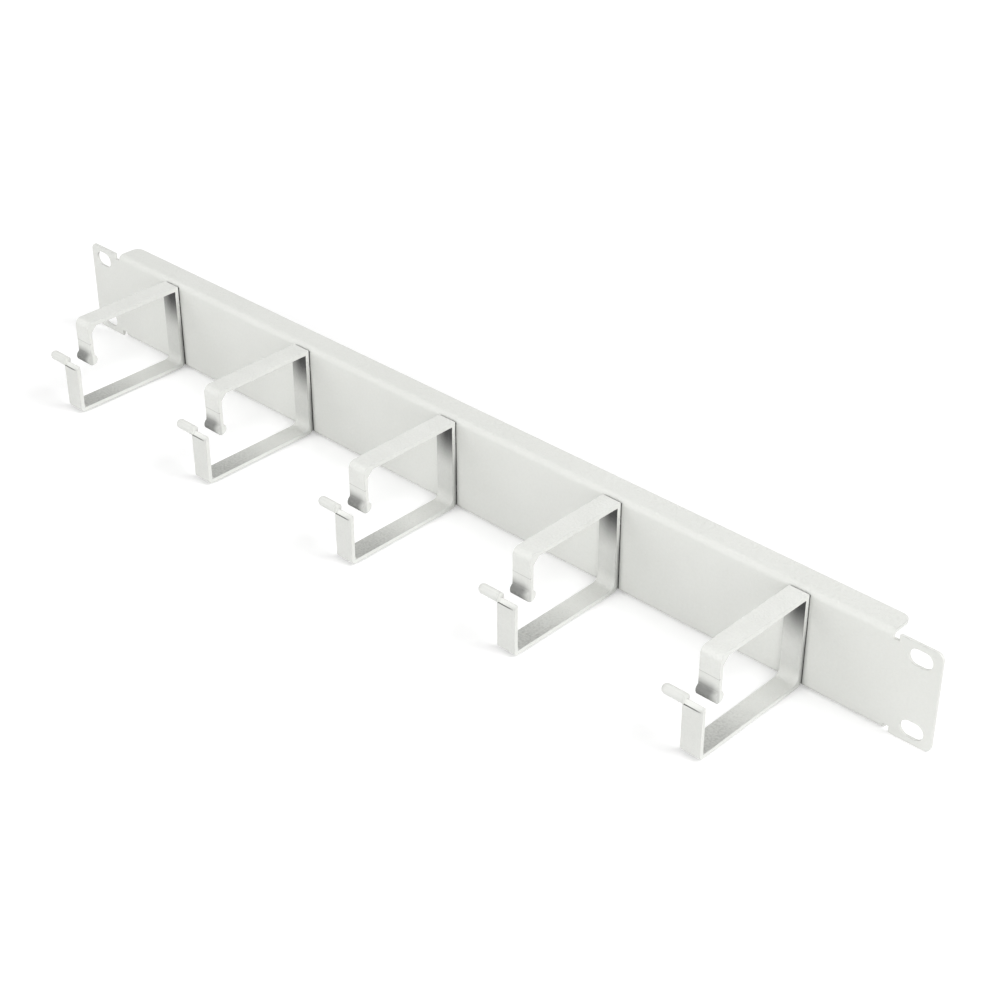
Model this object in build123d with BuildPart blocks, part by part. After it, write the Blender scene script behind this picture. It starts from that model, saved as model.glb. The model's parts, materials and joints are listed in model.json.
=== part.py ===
"""Horizontal cable manager, one rack unit high: a folded steel panel carrying five moulded cable rings.

The front faces -Y and +Z is up. The origin is the centre of the four rack slots, on the rear face
of the ears, where the panel meets the rack rails.
"""
import os

from build123d import *

# Panel: one sheet, folded back along its top and bottom edges
panel_length = 482.6
panel_height = 44.0
sheet = 1.2
bend_inner_radius = 1.6
flange_depth = 12.0
flange_corner_radius = 4.0
relief_width = 2.6
ear_length = 20.8
ear_corner_radius = 3.0

# Rack slots in the ears
slot_inset = 8.75
slot_spacing_z = 31.75
slot_length = 10.0
slot_height = 7.0

# Cable rings: an open hook profile of even wall, moulded to one width
ring_count = 5
ring_spacing = 90.0
ring_width = 9.2
ring_height = 42.0
ring_depth = 61.0
ring_wall = 2.1
edge_break = 0.2
back_top_radius = 0.6
back_bottom_radius = 2.6
back_top_inner_radius = 1.6
back_bottom_inner_radius = 3.0
front_bottom_radius = 2.2
front_bottom_inner_radius = 2.0

# Nose: the free end of the top arm, turned down and closed by a bead
mouth = 6.4
nose_length = 21.0
nose_corner_radius = 3.0
nose_gusset = 2.8
nose_step_drop = 10.2
nose_step = 0.15
nose_step_height = 5.4
bead_diameter = 4.9
bead_blend_radius = 0.6

# Lip and finger: the free top of the front wall
front_wall_height = 23.3
lip_bevel = 1.4
lip_rear_radius = 0.7
groove_height = 0.5
groove_depth = 0.4
groove_stop = 0.9
finger_diameter = 4.2
finger_reach = 9.8
finger_overlap = 1.0
finger_edge = 0.2

# Snap fixing: two pads and two split lugs on the back of each ring
lug_spacing = 24.0
pad_thickness = 0.4
pad_height = 3.0
lug_width = 5.0
lug_height = 2.4
lug_split = 1.6
lug_length = 3.6
lug_tip_width = 3.8
barb = 0.7
barb_clearance = 0.15
lug_hole_clearance = 0.15

# Levels of the panel
front_y = -sheet
flange_y = front_y + flange_depth
half_height = panel_height / 2
bend_outer_radius = bend_inner_radius + sheet
flange_length = panel_length - 2 * ear_length
slot_spacing_x = panel_length - 2 * slot_inset

# Levels of the ring profile
back_y = front_y - pad_thickness
back_inner_y = back_y - ring_wall
wall_y = front_y - ring_depth
wall_inner_y = wall_y + ring_wall
nose_y = wall_inner_y + mouth
nose_inner_y = nose_y + ring_wall
top_z = ring_height / 2
bottom_z = -top_z
top_inner_z = top_z - ring_wall
bottom_inner_z = bottom_z + ring_wall
lip_z = bottom_z + front_wall_height
step_z = top_z - nose_step_drop
bead_radius = bead_diameter / 2
bead_y = (nose_y + nose_inner_y) / 2
bead_z = top_z - nose_length + bead_radius
bead_neck_z = bead_z + (bead_radius**2 - (ring_wall / 2) ** 2) ** 0.5
finger_radius = finger_diameter / 2
finger_y = (wall_y + wall_inner_y) / 2


def corner(sketch, x, y):
    """The vertex of a sketch that lies at, or nearest to, a point of its plane."""
    return sketch.vertices().sort_by_distance((x, y))[0]


os.makedirs("parts", exist_ok=True)

# Panel
with BuildPart() as panel:
    # Channel between the ears: web, two bends and two flanges in one section
    with BuildSketch(Plane.YZ.offset(-flange_length / 2)) as channel:
        with BuildLine():
            Polyline(
                (front_y, -half_height),
                (flange_y, -half_height),
                (flange_y, -half_height + sheet),
                (0, -half_height + sheet),
                (0, half_height - sheet),
                (flange_y, half_height - sheet),
                (flange_y, half_height),
                (front_y, half_height),
                close=True,
            )
        make_face()
        for side in (-1, 1):
            fillet(corner(channel, front_y, side * half_height), bend_outer_radius)
            fillet(corner(channel, 0, side * (half_height - sheet)), bend_inner_radius)
    extrude(amount=flange_length)
    free_corners = panel.edges().filter_by(Axis.Z).group_by(Axis.Y)[-1]
    fillet(free_corners, flange_corner_radius)

    # Ears in the plane of the web, parted from the bends by relief notches
    with BuildSketch(Plane.XZ) as ears:
        for side in (-1, 1):
            with Locations((side * (flange_length + ear_length) / 2, 0)):
                Rectangle(ear_length, panel_height)
            for level in (-1, 1):
                fillet(corner(ears, side * panel_length / 2, level * half_height), ear_corner_radius)
        with GridLocations(flange_length + relief_width, panel_height, 2, 2):
            Rectangle(relief_width, 2 * bend_outer_radius, mode=Mode.SUBTRACT)
        with GridLocations(slot_spacing_x, slot_spacing_z, 2, 2):
            SlotOverall(slot_length, slot_height, mode=Mode.SUBTRACT)
    extrude(amount=sheet)

    # Holes that the ring lugs snap into
    with BuildSketch(Plane.XZ):
        with GridLocations(ring_spacing, lug_spacing, ring_count, 2):
            Rectangle(lug_width + 2 * lug_hole_clearance, lug_height + 2 * lug_hole_clearance)
    extrude(amount=sheet, mode=Mode.SUBTRACT)
panel.part.label = "panel"
export_step(panel.part, "parts/panel.step")

# Cable rings
for index in range(ring_count):
    ring_x = (index - (ring_count - 1) / 2) * ring_spacing
    left_x = ring_x - ring_width / 2

    with BuildPart() as ring:
        # Hook profile: lip, front wall, lower arm, back wall, top arm and nose
        with BuildSketch(Plane.YZ.offset(left_x)) as profile:
            with BuildLine():
                Polyline(
                    (back_y, bottom_z),
                    (back_y, top_z),
                    (nose_y, top_z),
                    (nose_y, bead_z),
                    (nose_inner_y, bead_z),
                    (nose_inner_y, top_inner_z),
                    (back_inner_y, top_inner_z),
                    (back_inner_y, bottom_inner_z),
                    (wall_inner_y, bottom_inner_z),
                    (wall_inner_y, lip_z),
                    (wall_y, lip_z),
                    (wall_y, bottom_z),
                    close=True,
                )
            make_face()
            fillet(corner(profile, back_y, top_z), back_top_radius)
            fillet(corner(profile, back_y, bottom_z), back_bottom_radius)
            fillet(corner(profile, back_inner_y, top_inner_z), back_top_inner_radius)
            fillet(corner(profile, back_inner_y, bottom_inner_z), back_bottom_inner_radius)
            fillet(corner(profile, wall_y, bottom_z), front_bottom_radius)
            fillet(corner(profile, wall_inner_y, bottom_inner_z), front_bottom_inner_radius)
            fillet(corner(profile, wall_inner_y, lip_z), lip_rear_radius)
            chamfer(corner(profile, wall_y, lip_z), lip_bevel)
            fillet(corner(profile, nose_y, top_z), nose_corner_radius)
            chamfer(corner(profile, nose_inner_y, top_inner_z), nose_gusset)
            with Locations((bead_y, bead_z)):
                Circle(bead_radius)
            fillet(corner(profile, nose_y, bead_neck_z), bead_blend_radius)
            fillet(corner(profile, nose_inner_y, bead_neck_z), bead_blend_radius)
        extrude(amount=ring_width)
        chamfer(ring.faces().filter_by(Axis.X).edges(), edge_break)

        # Step across the nose: its lower half is a little thinner
        with BuildSketch(Plane.YZ.offset(left_x)):
            with Locations((nose_y, step_z)):
                Rectangle(nose_step, nose_step_height, align=(Align.MIN, Align.MAX))
        extrude(amount=ring_width, mode=Mode.SUBTRACT)

        # Undercut below the lip, open at the finger's side
        with BuildSketch(Plane.YZ.offset(left_x)):
            with Locations((wall_y, lip_z - lip_bevel)):
                Rectangle(groove_depth, groove_height, align=(Align.MIN, Align.MAX))
        extrude(amount=ring_width - groove_stop, mode=Mode.SUBTRACT)

        # Finger along the mouth, turned about its own axis: flat where it lies on the lip, round at its tip
        finger_start = (left_x + finger_overlap, finger_y, lip_z)
        finger_length = finger_overlap + finger_reach
        with BuildSketch(Plane(finger_start, x_dir=(-1, 0, 0), z_dir=(0, 1, 0))):
            with BuildLine():
                Polyline(
                    (finger_length, 0),
                    (0, 0),
                    (0, finger_radius - finger_edge),
                    (finger_edge, finger_radius),
                    (finger_length - finger_radius, finger_radius),
                )
                CenterArc((finger_length - finger_radius, 0), finger_radius, 0, 90)
            make_face()
        revolve(axis=Axis(finger_start, (1, 0, 0)))

        # Pads that bear on the panel, and the split lugs that pass through it
        for lug_z in (-lug_spacing / 2, lug_spacing / 2):
            with BuildSketch(Plane.XZ.offset(-back_y)):
                with Locations((ring_x, lug_z)):
                    Rectangle(ring_width - 2 * edge_break, pad_height)
            extrude(amount=-pad_thickness)
            with BuildSketch(Plane((ring_x, 0, lug_z - lug_height / 2))):
                with BuildLine():
                    Polyline(
                        (lug_split / 2, front_y),
                        (lug_width / 2, front_y),
                        (lug_width / 2, barb_clearance),
                        (lug_width / 2 + barb, barb_clearance),
                        (lug_tip_width / 2, lug_length),
                        (lug_split / 2, lug_length),
                        close=True,
                    )
                make_face()
                mirror(about=Plane.YZ)
            extrude(amount=lug_height)

    ring.part.label = f"cable_ring_{index + 1}"
    export_step(ring.part, f"parts/cable_ring_{index + 1}.step")
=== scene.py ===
# %% [markdown]
# # A horizontal cable manager
#
# The object is a one-unit rack panel: a steel sheet folded into a shallow channel, with a slotted ear at each end,
# and five open plastic rings in a row on its front. Patch cables are pressed into the rings through the narrow mouth
# at the front. Panel and rings have nearly the same light grey, so the whole look hangs on small things: how soft the
# edges are, how the coat and the moulded plastic scatter light, and the thin dark gaps where pieces meet.
#
# The lesson starts from the solid model of the part, which is loaded as a fixed frame, and dresses it.

import json
import math

import bmesh
import bpy
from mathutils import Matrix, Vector

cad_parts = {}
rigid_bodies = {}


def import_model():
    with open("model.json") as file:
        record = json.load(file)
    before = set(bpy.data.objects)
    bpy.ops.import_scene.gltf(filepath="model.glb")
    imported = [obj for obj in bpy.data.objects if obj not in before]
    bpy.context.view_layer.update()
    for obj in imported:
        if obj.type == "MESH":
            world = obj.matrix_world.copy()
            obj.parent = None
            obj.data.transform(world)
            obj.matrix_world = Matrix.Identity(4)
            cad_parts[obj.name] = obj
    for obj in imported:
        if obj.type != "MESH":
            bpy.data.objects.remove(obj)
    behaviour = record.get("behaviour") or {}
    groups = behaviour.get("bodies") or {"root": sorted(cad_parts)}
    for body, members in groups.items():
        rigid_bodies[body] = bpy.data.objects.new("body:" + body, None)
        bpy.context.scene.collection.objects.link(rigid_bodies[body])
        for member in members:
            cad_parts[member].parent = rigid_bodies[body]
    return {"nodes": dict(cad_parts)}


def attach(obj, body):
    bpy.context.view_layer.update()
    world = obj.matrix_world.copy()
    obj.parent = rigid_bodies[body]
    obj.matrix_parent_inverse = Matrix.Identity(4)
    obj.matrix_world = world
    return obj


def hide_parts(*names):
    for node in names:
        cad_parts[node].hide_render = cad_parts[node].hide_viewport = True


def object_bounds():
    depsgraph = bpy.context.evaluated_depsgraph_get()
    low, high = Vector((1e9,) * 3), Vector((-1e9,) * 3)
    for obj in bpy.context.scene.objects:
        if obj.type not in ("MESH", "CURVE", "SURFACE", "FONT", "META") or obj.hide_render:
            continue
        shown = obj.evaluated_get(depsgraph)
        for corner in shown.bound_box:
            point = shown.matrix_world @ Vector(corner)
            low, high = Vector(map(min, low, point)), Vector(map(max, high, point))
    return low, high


for start_object in list(bpy.data.objects):
    bpy.data.objects.remove(start_object)
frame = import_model()
solid_low, solid_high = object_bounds()
print("nodes:", sorted(frame["nodes"]))
print("box in mm:", [round(1000 * v, 1) for v in (*solid_low, *solid_high)])

# %% [markdown]
# ## Units and pieces
#
# Blender works in metres here, and a drawing of such a part works in millimetres. A single factor keeps the numbers
# below readable: `3 * MM` is three millimetres. The distance from ring to ring is measured on the solids instead of
# being written down a second time.

# %% Millimetres, and the row of rings
MM = 0.001
panel_node = frame["nodes"]["panel"]
ring_names = sorted(name for name in frame["nodes"] if name.startswith("cable_ring"))
ring_starts = [min(v.co.x for v in frame["nodes"][name].data.vertices) for name in ring_names]
ring_spacing = (ring_starts[-1] - ring_starts[0]) / (len(ring_starts) - 1)
print("rings:", len(ring_names), "spacing in mm:", round(ring_spacing / MM, 3))

# %% [markdown]
# ## Softened edges
#
# No real edge is perfectly sharp. The sheet is punched and then coated, and the coat flows round the edge, so each
# edge of the panel ends in a tiny round that catches light as a thin bright line. A solid model leaves such rounds
# out. They could be faked in the shader, but then the outline would stay sharp, so the panel gets a copy of its mesh
# with a real bevel on every sharp edge. Flat triangles are joined first, because a bevel runs cleaner along long
# edges than across a fan of slivers.

# %% A copy of a node with joined faces
weld_distance = 0.002 * MM
flat_angle = math.radians(0.5)


def joined_mesh(node, name):
    """A bmesh of the node's surface with doubled points merged and flat triangles joined."""
    work = bmesh.new()
    work.from_mesh(node.data)
    bmesh.ops.remove_doubles(work, verts=work.verts, dist=weld_distance)
    bmesh.ops.dissolve_limit(
        work,
        angle_limit=flat_angle,
        use_dissolve_boundaries=False,
        verts=work.verts,
        edges=work.edges,
    )
    print(name, "faces after joining:", len(work.faces))
    return work


def sharp_edges(work, angle):
    """Edges whose two faces turn by more than the angle, in degrees."""
    limit = math.radians(angle)
    return [e for e in work.edges if len(e.link_faces) == 2 and e.calc_face_angle() > limit]


# %% [markdown]
# ## From mesh to piece
#
# A finished mesh becomes a piece that stands for a node of the frame and rides on the part. Smooth shading alone
# would let the large flat faces look swollen near their rounds. A weighted normal modifier gives the large faces the
# say over the direction of shared points, so that only the narrow rounds bend the light.

# %% A piece that stands for a node
large_face_weight = 80


def dressed_piece(work, name, node_name, crease):
    """Turns the bmesh into a smooth-shaded piece, with edges sharper than the crease, in degrees, kept sharp."""
    mesh = bpy.data.meshes.new(name)
    work.to_mesh(mesh)
    work.free()
    mesh.shade_smooth()
    mesh.set_sharp_from_angle(angle=math.radians(crease))
    piece = bpy.data.objects.new(name, mesh)
    bpy.context.scene.collection.objects.link(piece)
    shading = piece.modifiers.new("even_shading", "WEIGHTED_NORMAL")
    shading.keep_sharp = True
    shading.weight = large_face_weight
    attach(piece, "root")
    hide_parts(node_name)
    return piece


# %% The coated panel
coat_round = 0.3 * MM
rim_angle = 40
panel_crease = 60
panel_work = joined_mesh(panel_node, "panel")
rim = sharp_edges(panel_work, rim_angle)
bmesh.ops.bevel(
    panel_work,
    geom=rim,
    offset=coat_round,
    segments=2,
    profile=0.5,
    affect="EDGES",
    clamp_overlap=True,
)
coated_panel = dressed_piece(panel_work, "coated_panel", "panel", panel_crease)
print("coated panel:", len(rim), "edges rounded,", len(coated_panel.data.polygons), "faces")

# %% [markdown]
# ## Moulded rings
#
# Each ring comes out of a mould in one piece. Its solid already has the small edge breaks that let it leave the mould,
# so it needs no bevel. What it needs is even shading: the weighted normal gives the large flat faces their true
# direction and lets the narrow edge breaks roll smoothly between them, as a small radius would.

# %% The rings
ring_crease = 50
moulded_rings = []
for ring_name in ring_names:
    ring_work = joined_mesh(frame["nodes"][ring_name], ring_name)
    ring = dressed_piece(ring_work, "moulded_" + ring_name[6:], ring_name, ring_crease)
    moulded_rings.append(ring)
print("rings dressed:", [r.name for r in moulded_rings])

# %% [markdown]
# ## Shader maths as plain expressions
#
# Materials below are built from nodes. Wiring them by hand takes many lines, so one small class wraps an output
# socket. Adding or multiplying two wrapped sockets adds a Math node, and `node` adds any other kind of node: its
# settings come first, because some of them decide which sockets it shows, and then its socket values and links.

# %% A socket that can be calculated with
class Wire:
    """An output socket of a node tree."""

    def __init__(self, tree, socket=None):
        self.tree = tree
        self.socket = socket

    def node(self, kind, settings=None, sockets=None, out=0):
        """Adds a node and returns one of its outputs, by name or by number."""
        made = self.tree.nodes.new("ShaderNode" + kind)
        for name, value in (settings or {}).items():
            setattr(made, name, value)
        for name, value in (sockets or {}).items():
            if isinstance(name, int):
                target = made.inputs[name]
            else:
                target = next(s for s in made.inputs if s.name == name and s.enabled)
            if isinstance(value, Wire):
                self.tree.links.new(value.socket, target)
            else:
                target.default_value = value
        shown = [s for s in made.outputs if s.enabled]
        if isinstance(out, str):
            return Wire(self.tree, next(s for s in shown if s.name == out))
        return Wire(self.tree, shown[out])

    def maths(self, operation, *values):
        return self.node("Math", {"operation": operation}, dict(enumerate(values)))

    def __add__(self, other):
        return self.maths("ADD", self, other)

    __radd__ = __add__

    def __sub__(self, other):
        return self.maths("SUBTRACT", self, other)

    def __rsub__(self, other):
        return self.maths("SUBTRACT", other, self)

    def __mul__(self, other):
        return self.maths("MULTIPLY", self, other)

    __rmul__ = __mul__


# %% A material, its output and its noise
def new_finish(name):
    """An empty material and the wire that its nodes are added to."""
    finish = bpy.data.materials.new(name)
    finish.use_nodes = True
    finish.node_tree.nodes.clear()
    return finish, Wire(finish.node_tree)


def finish_with(finish, shader):
    """Joins a shader to the material's output."""
    out = finish.node_tree.nodes.new("ShaderNodeOutputMaterial")
    finish.node_tree.links.new(shader.socket, out.inputs["Surface"])


def noise(place, scale, detail, roughness):
    """Cloudy noise from 0 to 1, with features about 1 / scale metres across."""
    return place.node(
        "TexNoise",
        sockets={"Vector": place, "Scale": scale, "Detail": detail, "Roughness": roughness},
    )


def blend(factor, colour_a, colour_b):
    """The first colour where the factor is 0, the second where it is 1."""
    return factor.node("Mix", {"data_type": "RGBA"}, {"Factor": factor, "A": colour_a, "B": colour_b})


print("shader helpers ready")

# %% [markdown]
# ## Masks from place and direction
#
# Some marks belong to a place: the gap behind a ring, the groove under its lip. They could be painted on an unwrapped
# picture. Here every ring is alike and the frame's axes are known, so a mask is only a range of depth, level and
# distance across a ring. The distance along the panel is folded by the ring spacing, and one mask then serves all
# five rings.

# %% Ranges of place
def between(wire, low, high):
    """0 below low, 1 above high and a soft step between them."""
    return wire.node(
        "MapRange",
        {"interpolation_type": "SMOOTHSTEP"},
        {"Value": wire, "From Min": low, "From Max": high, "To Min": 0.0, "To Max": 1.0},
    )


def band(wire, limits, fades):
    """1 between two limits in millimetres, fading to 0 over the given widths below and above them."""
    low, high = limits
    below, above = fades
    rise = between(wire, (low - below) * MM, low * MM)
    fall = between(wire, high * MM, (high + above) * MM)
    return rise * (1 - fall)


def ring_place(place):
    """The distance across the nearest ring from its middle, and the depth and level on the part."""
    along, depth, level = (place.node("SeparateXYZ", sockets={"Vector": place}, out=axis) for axis in "XYZ")
    across = place.maths("WRAP", along, ring_spacing / 2, -ring_spacing / 2)
    return across, depth, level


def facing(wire, axis):
    """How far a face points along an axis, from -1 to 1."""
    normal = wire.node("TexCoord", out="Normal")
    return wire.node("SeparateXYZ", sockets={"Vector": normal}, out=axis)


print("mask helpers ready")

# %% [markdown]
# ## Powder coat
#
# The panel is sprayed with charged powder and baked. The melted powder levels out to a satin skin with two scales of
# unevenness: the soft waves known as orange peel, about a millimetre across, and a finer grain. The waves are deeper
# on the flange, which lies flat. The colour is nearly constant and varies by a percent or so. The strip behind each
# ring shows only as a thin gap, and its colour is painted dark there as painted shade in the gap. An image could
# carry all that, but noise in object space has no seams and no fixed resolution.

# %% Colour of the coat
coat_grey = (0.688, 0.696, 0.665, 1.0)
coat_pale = (0.714, 0.721, 0.692, 1.0)
# A near-black grey for painted shade, laid into the gaps and corners of the panel and the rings.
painted_shade_grey = (0.042, 0.043, 0.042, 1.0)
powder_coat, w = new_finish("powder_coat")
place = w.node("TexCoord", out="Object")
peel = noise(place, scale=800.0, detail=1.5, roughness=0.45)
grain = noise(place, scale=1900.0, detail=2.0, roughness=0.6)
cloud = noise(place, scale=22.0, detail=3.0, roughness=0.55)
mottle = between(cloud * 0.45 + peel * 0.35 + grain * 0.2, 0.35, 0.65)
clean_coat = blend(mottle, coat_grey, coat_pale)
print("coat colour nodes:", len(powder_coat.node_tree.nodes))

# %% Painted shade on the panel behind each ring
gap_half_width = 4.5 * MM
gap_half_height = 20.8 * MM
web_front = -1.1 * MM
gap_shade = 0.9
across, depth, level = ring_place(place)
behind_ring = (
    (1 - between(w.maths("ABSOLUTE", across), gap_half_width, gap_half_width + 0.3 * MM))
    * (1 - between(w.maths("ABSOLUTE", level), gap_half_height, gap_half_height + 0.5 * MM))
    * (1 - between(depth, web_front, web_front + 0.2 * MM))
)
# The strip behind each ring is laid towards the dark grey: painted shade in the gap.
coat_colour = blend(gap_shade * behind_ring, clean_coat, painted_shade_grey)
print("with the gap shade:", len(powder_coat.node_tree.nodes))

# %% Relief and sheen of the coat
peel_depth = 0.32 * MM
upward = between(facing(w, "Z"), 0.65, 1.0)
coat_height = (peel * 0.8 + grain * 0.2) * (0.6 + 0.9 * upward)
coat_roughness = 0.50 + 0.12 * peel + 0.06 * grain
coat_relief = w.node("Bump", sockets={"Strength": 1.0, "Distance": peel_depth, "Height": coat_height})
coat_shader = w.node(
    "BsdfPrincipled",
    sockets={
        "Base Color": coat_colour,
        "Roughness": coat_roughness,
        "Normal": coat_relief,
        "IOR": 1.5,
    },
)
finish_with(powder_coat, coat_shader)
coated_panel.data.materials.append(powder_coat)
print("powder coat nodes:", len(powder_coat.node_tree.nodes))

# %% [markdown]
# ## Ring plastic: places on a ring
#
# The rings are moulded in a tough matt plastic of the same shade. Their inner faces, the front of the nose and the
# groove under the lip each have a look of their own, so the first step is to find them. The limits below are the
# faces of one ring in millimetres: depth is negative towards the front, and level is measured from half height.

# %% Where a point lies on its ring
ring_plastic, w = new_finish("ring_plastic")
place = w.node("TexCoord", out="Object")
across, depth, level = ring_place(place)
left_face = -4.6 * MM
inner_depth = (-60.15, -3.65)
inner_level = (-18.95, 18.95)
inner_fade = (0.15, 0.15)
nose_depth = (-54.2, -53.4)
pad_level = (10.6, 13.4)
finger = 1 - between(across, left_face - 0.6 * MM, left_face)
inside = band(depth, inner_depth, inner_fade) * band(level, inner_level, inner_fade)
nose_front = band(depth, nose_depth, (3.3, 1.0))
pad = band(w.maths("ABSOLUTE", level), pad_level, (0.2, 0.2))
print("place nodes:", len(ring_plastic.node_tree.nodes))

# %% [markdown]
# ## Ring plastic: painted shade
#
# Shade is painted into the colour where the plastic lies in shadow: under the top arm and over the inner back wall,
# in inner corners, in the groove under the lip, low on the rear edge, in the gap between ring and panel, on the right
# faces near the panel and in a thin line at the step across the nose. The lower part of the nose's front, the front
# wall's front face and the lower arm are painted darker too, the lower arm with a speckle. Its strength is judged.
# Each mask below is 1 where the shade is deepest.

# %% Painted shade in corners and gaps
corner_reach = 10.0 * MM
gap_depth = (-1.65, -1.3)
groove_level = (0.42, 0.85)
open_sky = w.node("AmbientOcclusion", {"samples": 12, "only_local": True}, {"Distance": corner_reach}, out="AO")
# Painted shade in corners, deeper where a point sees little of its surroundings.
painted_corner_shade = 1 - between(open_sky, 0.3, 0.75)
back_face = between(depth, -10.0 * MM, -4.5 * MM) * between(level, -18.0 * MM, -12.0 * MM) * inside
under_arm = between(level, -3.0 * MM, 16.0 * MM) * (0.62 + 0.38 * between(across, -5.0 * MM, 1.5 * MM))
# Painted shadow under the top arm, deepest at the top, over a light painted shade on the whole inner back wall.
painted_arm_shadow = back_face * (0.18 + 0.82 * under_arm)
# Painted shade in the gap between the ring's back and the panel, broken at the pads.
rear_gap = band(depth, gap_depth, (0.1, 0.1)) * (1 - pad)
beside_panel = band(depth, (-2.0, -1.5), (14.0, 0.2))
# Painted shade on the outer faces near the panel, deeper low down.
painted_panel_shade = beside_panel * (1 - between(level, -16.0 * MM, 24.0 * MM)) * (1 - inside)
# Painted shade near the rear edge, low down.
rear_low = between(depth, -3.4 * MM, -2.0 * MM) * (1 - between(level, -4.0 * MM, 8.0 * MM)) * (1 - inside)
groove_end = 1 - between(across, 1.0 * MM, 3.7 * MM)
groove_floor = 1 - between(depth, -61.75 * MM, -61.6 * MM)
# Painted shadow in the groove under the lip.
undercut = groove_floor * groove_end * band(level, groove_level, (0.12, 0.1))
print("painted shade nodes:", len(ring_plastic.node_tree.nodes))

# %% Painted shade on the nose, the front wall and the lower arm
nose_shade_level = (-0.5, 2.5)
step_level = (10.75, 10.85)
spark = noise(place, scale=950.0, detail=4.0, roughness=0.65)
nose_left = 1 - 0.7 * between(across, 1.0 * MM, 4.8 * MM)
# Painted shade low on the nose's front, deeper towards the left.
painted_nose_shade = nose_front * nose_left * band(level, nose_shade_level, (2.5, 7.0))
# The front wall's front face is painted a little darker: painted shade.
wall_front = 1 - between(depth, -62.1 * MM, -61.9 * MM)
# A thin painted shade line at the step across the nose.
step_line = nose_front * band(level, step_level, (0.25, 0.25))
lower_arm = inside * (1 - between(level, -18.0 * MM, -15.0 * MM))
lower_arm_shade_reach = 1 - 0.75 * between(depth, -52.0 * MM, -20.0 * MM)
# Painted shade on the lower arm, deepest towards the front, broken by a speckle.
lower_arm_shade_and_speckle = lower_arm * lower_arm_shade_reach * (0.33 + 0.25 * between(spark, 0.35, 0.75))
print("nose and arm shade nodes:", len(ring_plastic.node_tree.nodes))

# %% Colour of the plastic
plastic_grey = (0.690, 0.697, 0.668, 1.0)
plastic_pale = (0.735, 0.742, 0.713, 1.0)
flow = noise(place, scale=90.0, detail=2.0, roughness=0.5)
# The finger is painted paler: a painted highlight for the light it catches.
mottle = between(flow * 0.45 + spark * 0.55 + finger, 0.35, 0.65)
clean_plastic = blend(mottle, plastic_grey, plastic_pale)
# Each mask lays the colour towards the dark grey: painted shade.
unshaded = 1 - lower_arm_shade_and_speckle
for shade_mask, strength in (
    (painted_corner_shade, 0.4),
    (painted_arm_shadow, 1.0),
    (painted_panel_shade, 0.22),
    (rear_low, 0.6),
    (wall_front, 0.085),
    (painted_nose_shade, 0.86),
    (step_line, 0.35),
    (rear_gap, 0.9),
    (undercut, 0.8),
):
    unshaded = unshaded * (1 - strength * shade_mask)
plastic_colour = blend(unshaded, painted_shade_grey, clean_plastic)
print("plastic colour nodes:", len(ring_plastic.node_tree.nodes))

# %% [markdown]
# ## Ring plastic: grain
#
# The mould is eroded to a fine grain, and the plastic takes it over. It shows most on the inner faces and on the top
# arm. The side faces come from the smoother parting faces of the mould, and the finger is smooth so that a cable
# slides along it. A displaced mesh would need millions of faces for such a grain, so a bump node does it.

# %% Relief and sheen of the plastic
grain_height = 0.35 * MM
upward = between(facing(w, "Z"), 0.65, 1.0)
sideways = between(w.maths("ABSOLUTE", facing(w, "X")), 0.6, 0.9)
grain_depth = (0.45 + 0.4 * inside + 0.35 * upward * (1 - inside)) * (1 - 0.8 * finger) * (1 - 0.6 * sideways)
pit = noise(place, scale=950.0, detail=1.5, roughness=0.5)
plastic_roughness = 0.44 + 0.10 * spark + 0.08 * inside
plastic_relief = w.node("Bump", sockets={"Strength": 1.0, "Distance": grain_height, "Height": pit * grain_depth})
plastic_shader = w.node(
    "BsdfPrincipled",
    sockets={
        "Base Color": plastic_colour,
        "Roughness": plastic_roughness,
        "Normal": plastic_relief,
        "IOR": 1.47,
    },
)
finish_with(ring_plastic, plastic_shader)
for ring in moulded_rings:
    ring.data.materials.append(ring_plastic)
print("ring plastic nodes:", len(ring_plastic.node_tree.nodes))

# %% [markdown]
# ## Floor
#
# The part stands on a pale studio floor. To the camera the floor is lifted to white by a little light of its own, so
# that the picture has a clean white ground, but it still takes the soft shadow of the part. The lift is given only to
# rays that come from the camera, or from the camera by way of a mirror or glass, so it never lights the part.

# %% The studio floor
floor_half = 6.0
floor_level = solid_low.z
floor_mesh = bpy.data.meshes.new("studio_floor")
floor_mesh.from_pydata(
    [(x * floor_half, y * floor_half, floor_level) for x, y in ((-1, -1), (1, -1), (1, 1), (-1, 1))],
    [],
    [(0, 1, 2, 3)],
)
floor = bpy.data.objects.new("studio_floor", floor_mesh)
bpy.context.scene.collection.objects.link(floor)
print("floor level in mm:", round(floor_level / MM, 2))

# %% The floor's finish
def seen_directly(wire):
    """1 for rays that show the ground to the camera, 0 for rays that light the part."""
    camera = wire.node("LightPath", out="Is Camera Ray")
    glossy = wire.node("LightPath", out="Is Glossy Ray")
    glass = wire.node("LightPath", out="Is Transmission Ray")
    return wire.maths("MAXIMUM", wire.maths("MAXIMUM", camera, glossy), glass)


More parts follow.
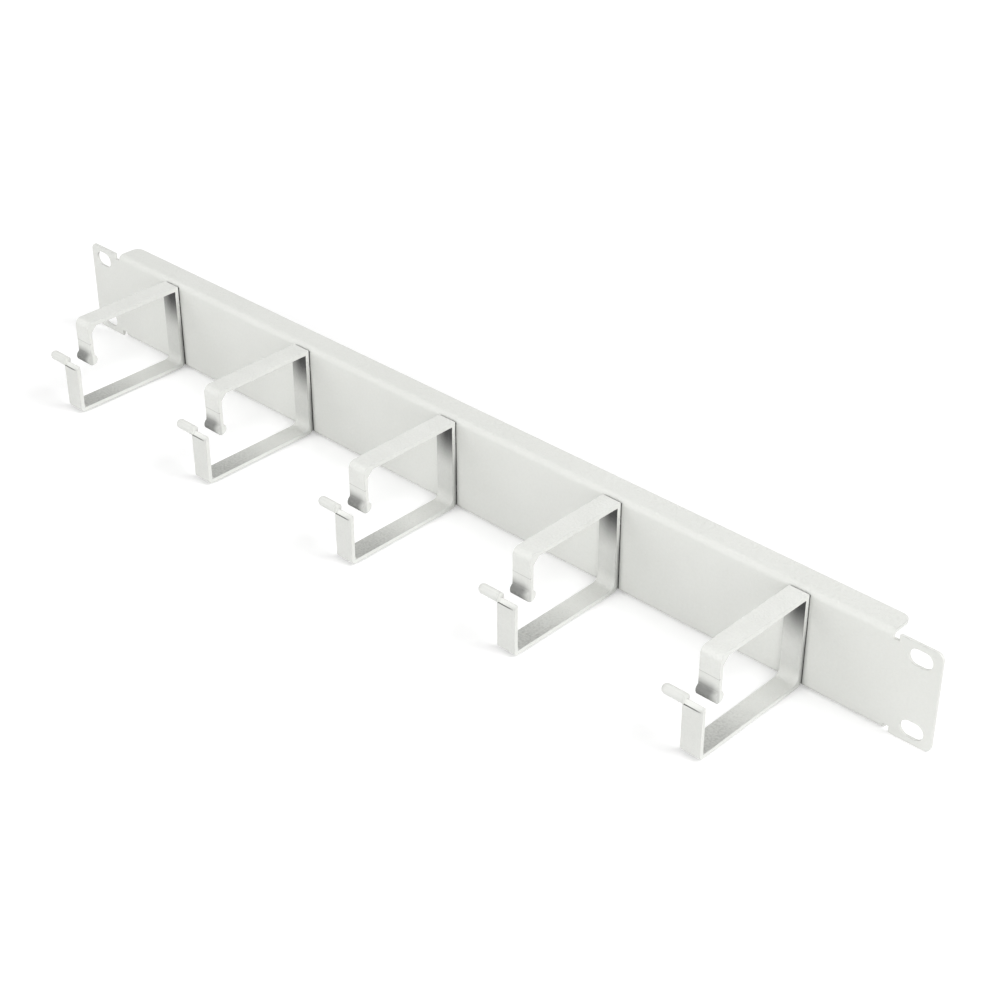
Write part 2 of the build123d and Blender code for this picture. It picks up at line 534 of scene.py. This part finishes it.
black = (0.0, 0.0, 0.0, 1.0)
white = (1.0, 1.0, 1.0, 1.0)
paper_grey = (0.78, 0.78, 0.78, 1.0)
near_lift = 0.3
far_lift = 0.8
floor_finish, w = new_finish("studio_floor")
ground = w.node("TexCoord", out="Object")
reach = w.node("VectorMath", {"operation": "LENGTH"}, {0: ground}, out="Value")
lift_level = near_lift + (far_lift - near_lift) * between(reach, 0.2, 1.2)
lift_colour = blend(seen_directly(w) * lift_level, black, white)
lift = w.node("Emission", sockets={"Color": lift_colour, "Strength": 1.0})
paper = w.node("BsdfDiffuse", sockets={"Color": paper_grey})
finish_with(floor_finish, w.node("AddShader", sockets={0: paper, 1: lift}))
floor_mesh.materials.append(floor_finish)
print("floor finish nodes:", len(floor_finish.node_tree.nodes))

# %% [markdown]
# ## Light
#
# The part is lit by large soft sources, the strongest from its upper right: the right faces of the rings are nearly
# white, while the front and the top have the plain grey of the coat. Four area lamps and an even surround give that.
# They stand about three and a half metres off, because a near lamp would leave the far end of the panel darker. Their
# power is chosen so that a colour comes out about as it is written.

# %% Soft boxes
def soft_box(name, place, side, power):
    """A square area lamp that looks at the middle of the part."""
    middle = Vector((0.0, -0.02, 0.0))
    lamp = bpy.data.lights.new(name, "AREA")
    lamp.shape = "SQUARE"
    lamp.size = side
    lamp.energy = power
    box = bpy.data.objects.new(name, lamp)
    box.location = place
    box.rotation_mode = "QUATERNION"
    box.rotation_quaternion = (middle - Vector(place)).to_track_quat("-Z", "Y")
    box.visible_camera = False
    bpy.context.scene.collection.objects.link(box)


soft_box("right_box", place=(2.15, 0.55, 2.55), side=2.0, power=76.0)
soft_box("front_box", place=(-1.12, -2.88, 1.12), side=2.25, power=42.0)
soft_box("camera_box", place=(2.38, -2.5, 1.12), side=2.0, power=35.0)
soft_box("rear_box", place=(-1.25, 3.38, 0.62), side=1.75, power=25.0)

# %% Surround
surround_light = 0.40
surround = bpy.data.worlds.new("surround")
surround.use_nodes = True
surround.node_tree.nodes.clear()
w = Wire(surround.node_tree)
glow_strength = surround_light + (1 - surround_light) * seen_directly(w)
glow = w.node("Background", sockets={"Color": white, "Strength": glow_strength})
sky_out = surround.node_tree.nodes.new("ShaderNodeOutputWorld")
surround.node_tree.links.new(glow.socket, sky_out.inputs["Surface"])
bpy.context.scene.world = surround
bpy.context.scene.view_settings.view_transform = "Standard"
print("surround nodes:", len(surround.node_tree.nodes))

# %% [markdown]
# ## Camera
#
# The picture looks down on the part from its front right, along the panel, with the left end far away. A medium long
# lens from a little under a metre lets the panel shrink gently towards the far end. Direction, distance and lens were
# found together, by laying the part's outline over the one in the picture.

# %% The camera
view_azimuth = math.radians(43.33)
view_elevation = math.radians(32.59)
view_distance = 850.0 * MM
look_at = Vector((30.2, -1.87, -6.1)) * MM
away = Vector(
    (
        math.sin(view_azimuth) * math.cos(view_elevation),
        -math.cos(view_azimuth) * math.cos(view_elevation),
        math.sin(view_elevation),
    )
)
lens = bpy.data.cameras.new("view_camera")
lens.sensor_width = 36.0
lens.lens = 74.05
lens.clip_start = 0.05
lens.clip_end = 50.0
camera = bpy.data.objects.new("view_camera", lens)
camera.location = look_at + away * view_distance
camera.rotation_mode = "QUATERNION"
camera.rotation_quaternion = (-away).to_track_quat("-Z", "Y")
bpy.context.scene.collection.objects.link(camera)
bpy.context.scene.camera = camera
print("camera at mm:", [round(v / MM) for v in camera.location])

# %% [markdown]
# ## Finish
#
# The last call brings the view layer up to date.

# %% Finish
bpy.context.view_layer.update()
